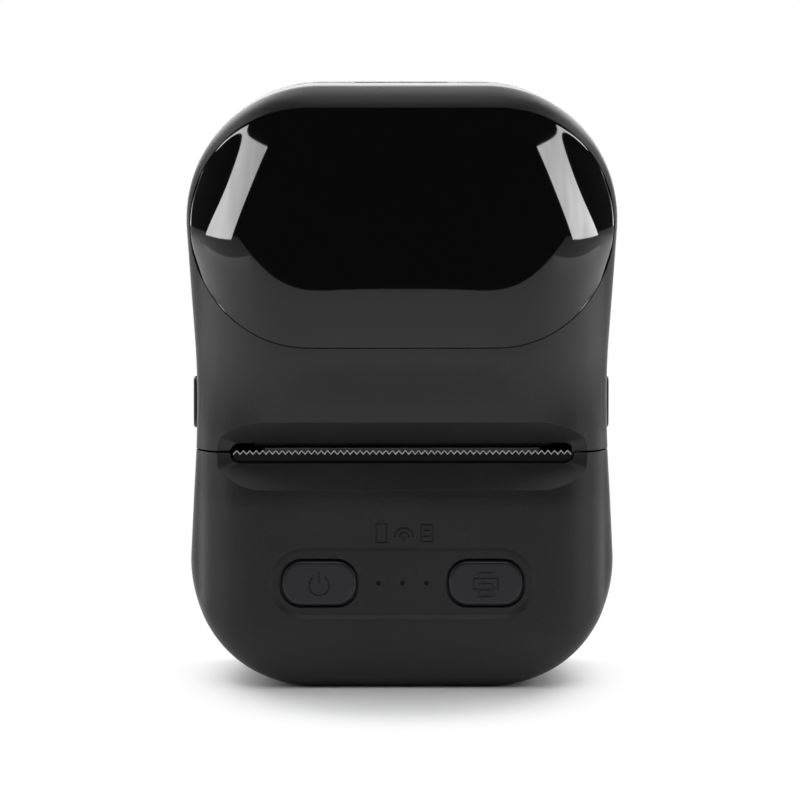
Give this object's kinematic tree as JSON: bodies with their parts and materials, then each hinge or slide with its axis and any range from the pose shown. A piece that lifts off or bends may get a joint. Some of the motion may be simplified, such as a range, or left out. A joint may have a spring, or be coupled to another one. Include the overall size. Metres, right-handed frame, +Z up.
{
  "type": "portable label printer",
  "caption": "Upright pocket-size thermal label printer with rounded corners, a dark roll window in a hinged lid, a tear slot and an oval panel with push buttons.",
  "frame": {"origin": "middle of the bounding box on the standing face, z = 0 is the surface it stands on", "axes": "+Z is up, the long way of the body; -Y is the front with the window and the buttons; +X is the right side seen from the front"},
  "size_m": [0.0834, 0.058, 0.116],
  "materials": {
    "shell_plastic": "fine matte grain, charcoal grey",
    "window_plastic": "polished near-black plastic",
    "button_plastic": "smooth satin, bluish charcoal",
    "inner_plastic": "matte black moulded plastic",
    "gear_plastic": "plain white gear plastic",
    "roller_rubber": "ground black roller rubber",
    "pad_rubber": "soft black rubber",
    "steel": "bright ground steel",
    "frame_steel": "plated sheet steel",
    "screw_steel": "blackened steel",
    "heatsink_metal": "plain extruded aluminium",
    "head_glaze": "glazed white ceramic",
    "brass": "turned brass",
    "bush_plastic": "dark bearing plastic",
    "board": "green lacquered circuit board",
    "chip": "black moulded chip package",
    "light_plastic": "milky light-guide plastic",
    "battery_wrap": "dark blue shrink sleeve, blank"
  },
  "bodies": {
    "base": {"rear_housing": "shell_plastic", "front_housing": "shell_plastic", "hinge_pin": "steel", "idler_stud": "steel", "compound_stud": "steel", "gear_keeper": "frame_steel", "stepper_motor": "frame_steel", "mechanism_frame": "frame_steel", "head_pivot_pin": "steel", "head_spring_left": "steel", "head_spring_right": "steel", "tear_blade": "steel", "bay_liner": "inner_plastic", "gap_sensor": "chip", "latch_spring_left": "steel", "latch_spring_right": "steel", "power_switch": "frame_steel", "feed_switch": "frame_steel", "light_pipes": "light_plastic", "status_lights": "light_plastic", "main_board": "board", "wireless_shield": "frame_steel", "processor": "chip", "board_screw_left": "screw_steel", "board_screw_right": "screw_steel", "frame_screw_left": "screw_steel", "frame_screw_right": "screw_steel", "housing_screw_upper_left": "screw_steel", "housing_screw_lower_left": "screw_steel", "housing_screw_upper_right": "screw_steel", "housing_screw_lower_right": "screw_steel", "charge_board": "board", "charge_port": "steel", "battery_pack": "battery_wrap", "back_pad_lower_left": "pad_rubber", "back_pad_upper_left": "pad_rubber", "back_pad_lower_right": "pad_rubber", "back_pad_upper_right": "pad_rubber"},
    "lid": {"lid_shell": "shell_plastic", "lid_window": "window_plastic", "platen_bush_left": "bush_plastic", "platen_bush_right": "bush_plastic"},
    "platen": {"platen_roller": "roller_rubber", "platen_shaft": "steel", "platen_gear": "gear_plastic"},
    "idler": {"idler_gear": "gear_plastic"},
    "compound": {"compound_gear": "gear_plastic"},
    "rotor": {"motor_pinion": "brass", "motor_shaft": "steel"},
    "print_head": {"head_heatsink": "heatsink_metal", "head_ceramic": "head_glaze"},
    "latch_slider_left": {"latch_left": "button_plastic"},
    "latch_slider_right": {"latch_right": "button_plastic"},
    "power_key": {"power_button": "button_plastic", "power_plunger": "chip"},
    "feed_key": {"feed_button": "button_plastic", "feed_plunger": "chip"},
    "guide_left": {"roll_guide_left": "inner_plastic"},
    "guide_right": {"roll_guide_right": "inner_plastic"},
    "guide_wheel": {"guide_pinion": "gear_plastic"}
  },
  "joints": [
    {"name": "lid_hinge", "type": "hinge", "parent": "base", "child": "lid", "pos_m": [0, 0.01035, 0.112], "axis": [-1, 0, 0], "range_deg": [0, 88]},
    {"name": "platen_spin", "type": "hinge", "parent": "lid", "child": "platen", "pos_m": [0, -0.0106, 0.0498], "axis": [1, 0, 0], "continuous": true},
    {"name": "idler_spin", "type": "hinge", "parent": "base", "child": "idler", "pos_m": [0.0341, -0.00256, 0.04377], "axis": [1, 0, 0], "continuous": true},
    {"name": "compound_spin", "type": "hinge", "parent": "base", "child": "compound", "pos_m": [0.033, 0.00269, 0.03702], "axis": [1, 0, 0], "continuous": true},
    {"name": "motor_spin", "type": "hinge", "parent": "base", "child": "rotor", "pos_m": [0.031, 0.002, 0.028], "axis": [1, 0, 0], "continuous": true},
    {"name": "head_pivot", "type": "hinge", "parent": "base", "child": "print_head", "pos_m": [0, 0.0012, 0.0436], "axis": [1, 0, 0], "range_deg": [0, 1.5], "stiffness_Nm_per_rad": 3, "springref_deg": -1.15, "deforming": ["head_spring_left", "head_spring_right"]},
    {"name": "latch_slide_left", "type": "slide", "parent": "base", "child": "latch_slider_left", "axis": [1, 0, 0], "range_m": [0, 0.002], "stiffness_N_per_m": 600, "springref_m": -0.002, "deforming": ["latch_spring_left"]},
    {"name": "latch_slide_right", "type": "slide", "parent": "base", "child": "latch_slider_right", "axis": [-1, 0, 0], "range_m": [0, 0.002], "stiffness_N_per_m": 600, "springref_m": -0.002, "deforming": ["latch_spring_right"]},
    {"name": "power_press", "type": "slide", "parent": "base", "child": "power_key", "axis": [0, 1, 0], "range_m": [0, 0.0005], "stiffness_N_per_m": 2400, "springref_m": -0.0004},
    {"name": "feed_press", "type": "slide", "parent": "base", "child": "feed_key", "axis": [0, 1, 0], "range_m": [0, 0.0005], "stiffness_N_per_m": 2400, "springref_m": -0.0004},
    {"name": "guide_slide_left", "type": "slide", "parent": "base", "child": "guide_left", "axis": [1, 0, 0], "range_m": [0, 0.015]},
    {"name": "guide_slide_right", "type": "slide", "parent": "base", "child": "guide_right", "axis": [-1, 0, 0], "range_m": [0, 0.015]},
    {"name": "guide_wheel_spin", "type": "hinge", "parent": "base", "child": "guide_wheel", "pos_m": [0, 0.0212, 0.086], "axis": [0, -1, 0], "range_deg": [0, 214.86]}
  ],
  "couplings": [
    {"joint": "idler_spin", "follows": "platen_spin", "ratio": -0.81818},
    {"joint": "compound_spin", "follows": "platen_spin", "ratio": 1.5},
    {"joint": "motor_spin", "follows": "platen_spin", "ratio": -3.9},
    {"joint": "guide_slide_right", "follows": "guide_slide_left", "ratio": 1},
    {"joint": "guide_wheel_spin", "follows": "guide_slide_left", "rad_per_m": 250}
  ]
}
